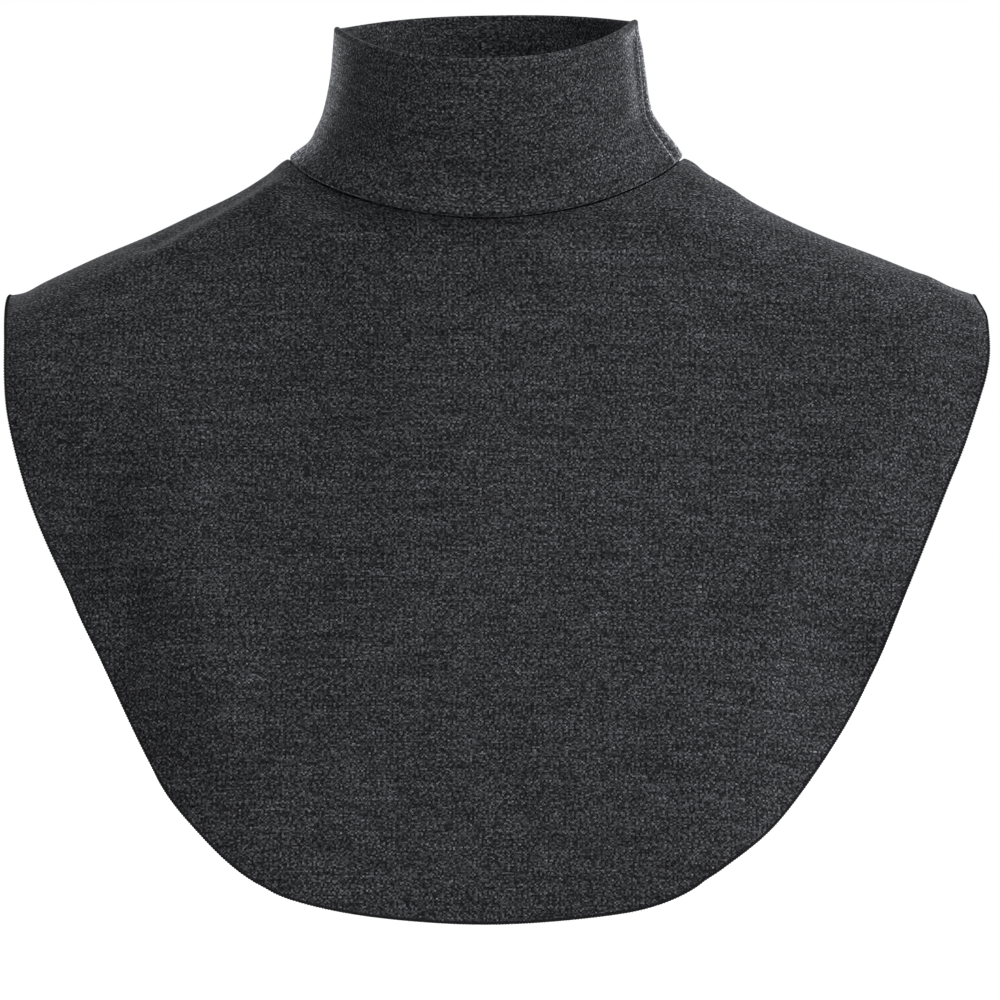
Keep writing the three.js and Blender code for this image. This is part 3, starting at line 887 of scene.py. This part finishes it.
def knit_group():
    """A jersey knit in flat cloth coordinates: the tone of its fibres, with painted shade between its
    stitch loops, and the height of its stitches.
    """
    tree = bpy.data.node_groups.new("melange_knit", "ShaderNodeTree")
    for name, kind in (("Place", "Vector"), ("Wales", "Float"), ("Courses", "Float")):
        tree.interface.new_socket(name=name, in_out="INPUT", socket_type="NodeSocket" + kind)
    for name in ("Tone", "Height"):
        tree.interface.new_socket(name=name, in_out="OUTPUT", socket_type="NodeSocketFloat")
    given = tree.nodes.new("NodeGroupInput").outputs
    put_out = tree.nodes.new("NodeGroupOutput").inputs
    place = given["Place"]

    parts = add_node(tree, "ShaderNodeSeparateXYZ", {0: place}).outputs
    wale = maths(tree, "MULTIPLY", parts["X"], given["Wales"])
    course = maths(tree, "MULTIPLY", parts["Y"], given["Courses"])
    leg = maths(tree, "PINGPONG", wale, 0.5)
    slant = maths(tree, "ADD", course, leg)
    leg_round = maths(tree, "ABSOLUTE", maths(tree, "SINE", maths(tree, "MULTIPLY", leg, 2 * math.pi)))
    stitch_wave = maths(tree, "SINE", maths(tree, "MULTIPLY", slant, 2 * math.pi))
    stitch_round = maths(tree, "ADD", maths(tree, "MULTIPLY", stitch_wave, 0.5), 0.5)
    loops = maths(tree, "MULTIPLY", leg_round, stitch_round)

    column = maths(tree, "FLOOR", wale)
    row = maths(tree, "FLOOR", slant)
    course_place = add_node(tree, "ShaderNodeCombineXYZ", {0: parts["X"], 1: row}).outputs[0]
    fibres = pattern(tree, place, FIBRES)
    sway = maths(tree, "MULTIPLY", pattern(tree, place, SWAY), RIB_SWAY)
    rib_place = maths(tree, "ADD", parts["X"], sway)
    rib = maths(tree, "SINE", maths(tree, "MULTIPLY", rib_place, 2 * math.pi * RIBS))

    layers = (
        (pattern(tree, course_place, LONG_STREAKS), LONG_STREAK_SHARE),
        (pattern(tree, place, SHORT_STREAKS), SHORT_STREAK_SHARE),
        (pattern(tree, place, SPECKLE), SPECKLE_SHARE),
        (stitch_tone(tree, column, row), STITCH_SHARE),
        (fibres, FIBRE_SHARE),
        (pattern(tree, place, CLOUDS), CLOUD_SHARE),
        (rib, RIB_SHARE),
        # Painted shade: the shape of the loops darkens the tone in the gaps between them.
        (maths(tree, "SUBTRACT", loops, LOOP_SHADE_MEAN), LOOP_SHADE_SHARE),
    )
    height = maths(tree, "ADD", loops, maths(tree, "MULTIPLY", fibres, FIBRE_RELIEF))
    tree.links.new(layered(tree, layers), put_out["Tone"])
    tree.links.new(height, put_out["Height"])
    return tree


def start_material(name):
    material = bpy.data.materials.new(name)
    material.use_nodes = True
    tree = material.node_tree
    return material, tree, tree.nodes["Principled BSDF"]


def add_bump(tree, shader, height, distance, strength):
    inputs = {"Height": height, "Distance": distance * MM, "Strength": strength}
    bump = add_node(tree, "ShaderNodeBump", inputs)
    tree.links.new(bump.outputs["Normal"], shader.inputs["Normal"])


def ranged(tree, value, start, end, low, high, way="LINEAR"):
    """A value from low to high, while the given one goes from the start to the end."""
    inputs = {"Value": value, "From Min": start, "From Max": end, "To Min": low, "To Max": high}
    made = add_node(tree, "ShaderNodeMapRange", inputs, interpolation_type=way)
    return made.outputs["Result"]


def jersey_material(name, knit, rim_highlight):
    material, tree, shader = start_material(name)
    place = add_node(tree, "ShaderNodeUVMap", uv_map="cloth").outputs["UV"]
    fabric = add_node(tree, "ShaderNodeGroup", {}, node_tree=knit)
    tree.links.new(place, fabric.inputs["Place"])
    fabric.inputs["Wales"].default_value = WALES
    fabric.inputs["Courses"].default_value = COURSES
    glow = maths(tree, "EXPONENT", maths(tree, "MULTIPLY", fabric.outputs["Tone"], MELANGE_CONTRAST))
    glow = maths(tree, "MINIMUM", maths(tree, "MULTIPLY", glow, MELANGE_TONE), MELANGE_LIGHTEST)
    tint = add_node(tree, "ShaderNodeMix", {}, data_type="RGBA", blend_type="MULTIPLY")
    tint.inputs["Factor"].default_value = 1.0
    tint.inputs["A"].default_value = MELANGE_TINT
    # Painted highlight: the base colour is made lighter towards grazing angles, as a rim of light, except
    # near the collar's lip.
    facing = add_node(tree, "ShaderNodeLayerWeight", {"Blend": 0.5}).outputs["Facing"]
    painted_rim = ranged(tree, facing, RIM_HIGHLIGHT_START, 1.0, 0.0, rim_highlight - 1, "SMOOTHSTEP")
    climb = add_node(tree, "ShaderNodeSeparateXYZ", {0: place}).outputs["Y"]
    from_lip = maths(tree, "ABSOLUTE", maths(tree, "SUBTRACT", climb, COLLAR_HEIGHT * MM))
    off_lip = ranged(tree, from_lip, LIP_START * MM, LIP_END * MM, 0.0, 1.0, "SMOOTHSTEP")
    painted_rim = maths(tree, "ADD", maths(tree, "MULTIPLY", painted_rim, off_lip), 1.0)
    tree.links.new(maths(tree, "MULTIPLY", glow, painted_rim), tint.inputs["B"])
    tree.links.new(tint.outputs["Result"], shader.inputs["Base Color"])
    tone = fabric.outputs["Tone"]
    rough = ranged(tree, tone, -TONE_REACH, TONE_REACH, JERSEY_ROUGHEST, JERSEY_SMOOTHEST)
    tree.links.new(rough, shader.inputs["Roughness"])
    shader.inputs["Specular IOR Level"].default_value = JERSEY_SPECULAR
    shader.inputs["Sheen Weight"].default_value = SHEEN_WEIGHT
    shader.inputs["Sheen Roughness"].default_value = SHEEN_ROUGHNESS
    shader.inputs["Sheen Tint"].default_value = SHEEN_TINT
    add_bump(tree, shader, fabric.outputs["Height"], KNIT_RELIEF, KNIT_RELIEF_STRENGTH)
    return material


def thread_material():
    material, tree, shader = start_material("overlock_thread")
    place = add_node(tree, "ShaderNodeUVMap", uv_map="cloth").outputs["UV"]
    parts = add_node(tree, "ShaderNodeSeparateXYZ", {0: place}).outputs
    along = maths(tree, "MULTIPLY", parts["X"], 2 * math.pi * TWISTS_ALONG)
    round_it = maths(tree, "MULTIPLY", parts["Y"], 2 * math.pi * TWISTS_ROUND)
    twist = maths(tree, "SINE", maths(tree, "ADD", along, round_it))
    tone = layered(tree, ((twist, TWIST_SHARE), (pattern(tree, place, THREAD_FLECK), FLECK_SHARE)))
    ramp = add_node(tree, "ShaderNodeValToRGB", {"Fac": ranged(tree, tone, -1.0, 1.0, 0.0, 1.0)})
    ramp.color_ramp.elements[0].color = THREAD_DARKEST
    ramp.color_ramp.elements[1].color = THREAD_LIGHTEST
    tree.links.new(ramp.outputs["Color"], shader.inputs["Base Color"])
    rough = ranged(tree, tone, -1.0, 1.0, THREAD_ROUGHEST, THREAD_SMOOTHEST)
    tree.links.new(rough, shader.inputs["Roughness"])
    shader.inputs["Specular IOR Level"].default_value = THREAD_SPECULAR
    add_bump(tree, shader, twist, TWIST_RELIEF, TWIST_RELIEF_STRENGTH)
    return material


def paper_material():
    material, tree, shader = start_material("pale_paper")
    place = add_node(tree, "ShaderNodeTexCoord").outputs["Object"]
    inputs = {"Vector": place, "Scale": PAPER_GRAIN, "Detail": PAPER_GRAIN_DETAIL}
    grain = add_node(tree, "ShaderNodeTexNoise", inputs).outputs[0]
    grey = ranged(tree, grain, 0.0, 1.0, PAPER_DARKEST, PAPER_LIGHTEST)
    colour = add_node(tree, "ShaderNodeCombineColor", {0: grey, 1: grey, 2: grey})
    tree.links.new(colour.outputs[0], shader.inputs["Base Color"])
    shader.inputs["Roughness"].default_value = PAPER_ROUGHNESS
    return material


# Camera, floor and light


def make_camera():
    data = bpy.data.cameras.new("camera")
    data.lens = FOCAL_LENGTH
    data.sensor_width = SENSOR_WIDTH
    camera = bpy.data.objects.new("camera", data)
    camera.location = Vector(CAMERA_PLACE) * MM
    camera.rotation_euler = (math.pi / 2, 0, 0)
    bpy.context.scene.collection.objects.link(camera)
    bpy.context.scene.camera = camera


def make_floor():
    mesh = bmesh.new()
    bmesh.ops.create_circle(mesh, cap_ends=True, segments=FLOOR_SIDES, radius=FLOOR_RADIUS * MM)
    bmesh.ops.translate(mesh, verts=mesh.verts, vec=(0, 0, FLOOR_HEIGHT * MM))
    floor = finished("floor", mesh, paper_material())
    floor.visible_diffuse = False
    floor.visible_shadow = False


def make_world():
    world = bpy.data.worlds.new("studio")
    bpy.context.scene.world = world
    world.use_nodes = True
    tree = world.node_tree
    tree.nodes.clear()
    way = add_node(tree, "ShaderNodeTexCoord").outputs["Generated"]
    parts = add_node(tree, "ShaderNodeSeparateXYZ", {0: way}).outputs
    front = maths(tree, "MULTIPLY", parts["Y"], -SOFT_FROM_FRONT)
    behind = maths(tree, "MULTIPLY", parts["Y"], SOFT_FROM_BEHIND)
    level = maths(tree, "MAXIMUM", front, behind)
    soft = add_node(tree, "ShaderNodeBackground", {"Color": (1, 1, 1, 1), "Strength": level})
    seen = (SEEN_BACKGROUND, SEEN_BACKGROUND, SEEN_BACKGROUND, 1)
    backdrop = add_node(tree, "ShaderNodeBackground", {"Color": seen, "Strength": 1.0})
    path = add_node(tree, "ShaderNodeLightPath")
    mixed = add_node(tree, "ShaderNodeMixShader", {0: path.outputs["Is Camera Ray"]})
    tree.links.new(soft.outputs[0], mixed.inputs[1])
    tree.links.new(backdrop.outputs[0], mixed.inputs[2])
    output = add_node(tree, "ShaderNodeOutputWorld")
    tree.links.new(mixed.outputs[0], output.inputs["Surface"])


def add_light(name, energy, azimuth, rise):
    """A large far light. An azimuth of 0 is the front, and 90 degrees is the right."""
    data = bpy.data.lights.new(name, "SUN")
    data.energy = energy
    data.angle = math.radians(LIGHT_ANGLE)
    light = bpy.data.objects.new(name, data)
    turn = math.radians(azimuth)
    towards = Vector((math.sin(turn), -math.cos(turn), rise))
    light.rotation_euler = towards.to_track_quat("Z", "Y").to_euler()
    bpy.context.scene.collection.objects.link(light)


def make_light():
    bpy.context.scene.view_settings.view_transform = "Standard"
    make_world()
    add_light("key", KEY_LIGHT, KEY_AZIMUTH, KEY_RISE)
    add_light("top", TOP_LIGHT, TOP_AZIMUTH, TOP_RISE)


def make_object():
    knit = knit_group()
    # The collar's copy of the jersey has a stronger painted highlight at grazing angles than the panels'
    # jersey.
    collar_jersey_painted_rim = jersey_material("collar_jersey_painted_rim", knit, COLLAR_RIM_HIGHLIGHT)
    jersey = jersey_material("melange_jersey", knit, PANEL_RIM_HIGHLIGHT)
    thread = thread_material()
    band = collar("collar_band", collar_jersey_painted_rim)
    front = panel("front_cloth", FRONT, jersey)
    back = panel("back_cloth", BACK, jersey)
    front_edge = overlocked_edge("front_overlock", FRONT, thread)
    back_edge = overlocked_edge("back_overlock", BACK, thread)
    neck = neck_allowance("neck_allowance", thread)
    left = shoulder_allowance("left_shoulder_allowance", -1, thread)
    right = shoulder_allowance("right_shoulder_allowance", 1, thread)
    for piece, node, slot in (
        (band, "collar", "jersey"),
        (front, "front_panel", "jersey"),
        (back, "back_panel", "jersey"),
        (front_edge, "front_edge", "thread"),
        (back_edge, "back_edge", "thread"),
        (neck, "neck_seam", "thread"),
        (left, "shoulder_seam_left", "thread"),
        (right, "shoulder_seam_right", "thread"),
    ):
        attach(piece, "root")
        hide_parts(node)


make_camera()
make_floor()
make_light()
make_object()
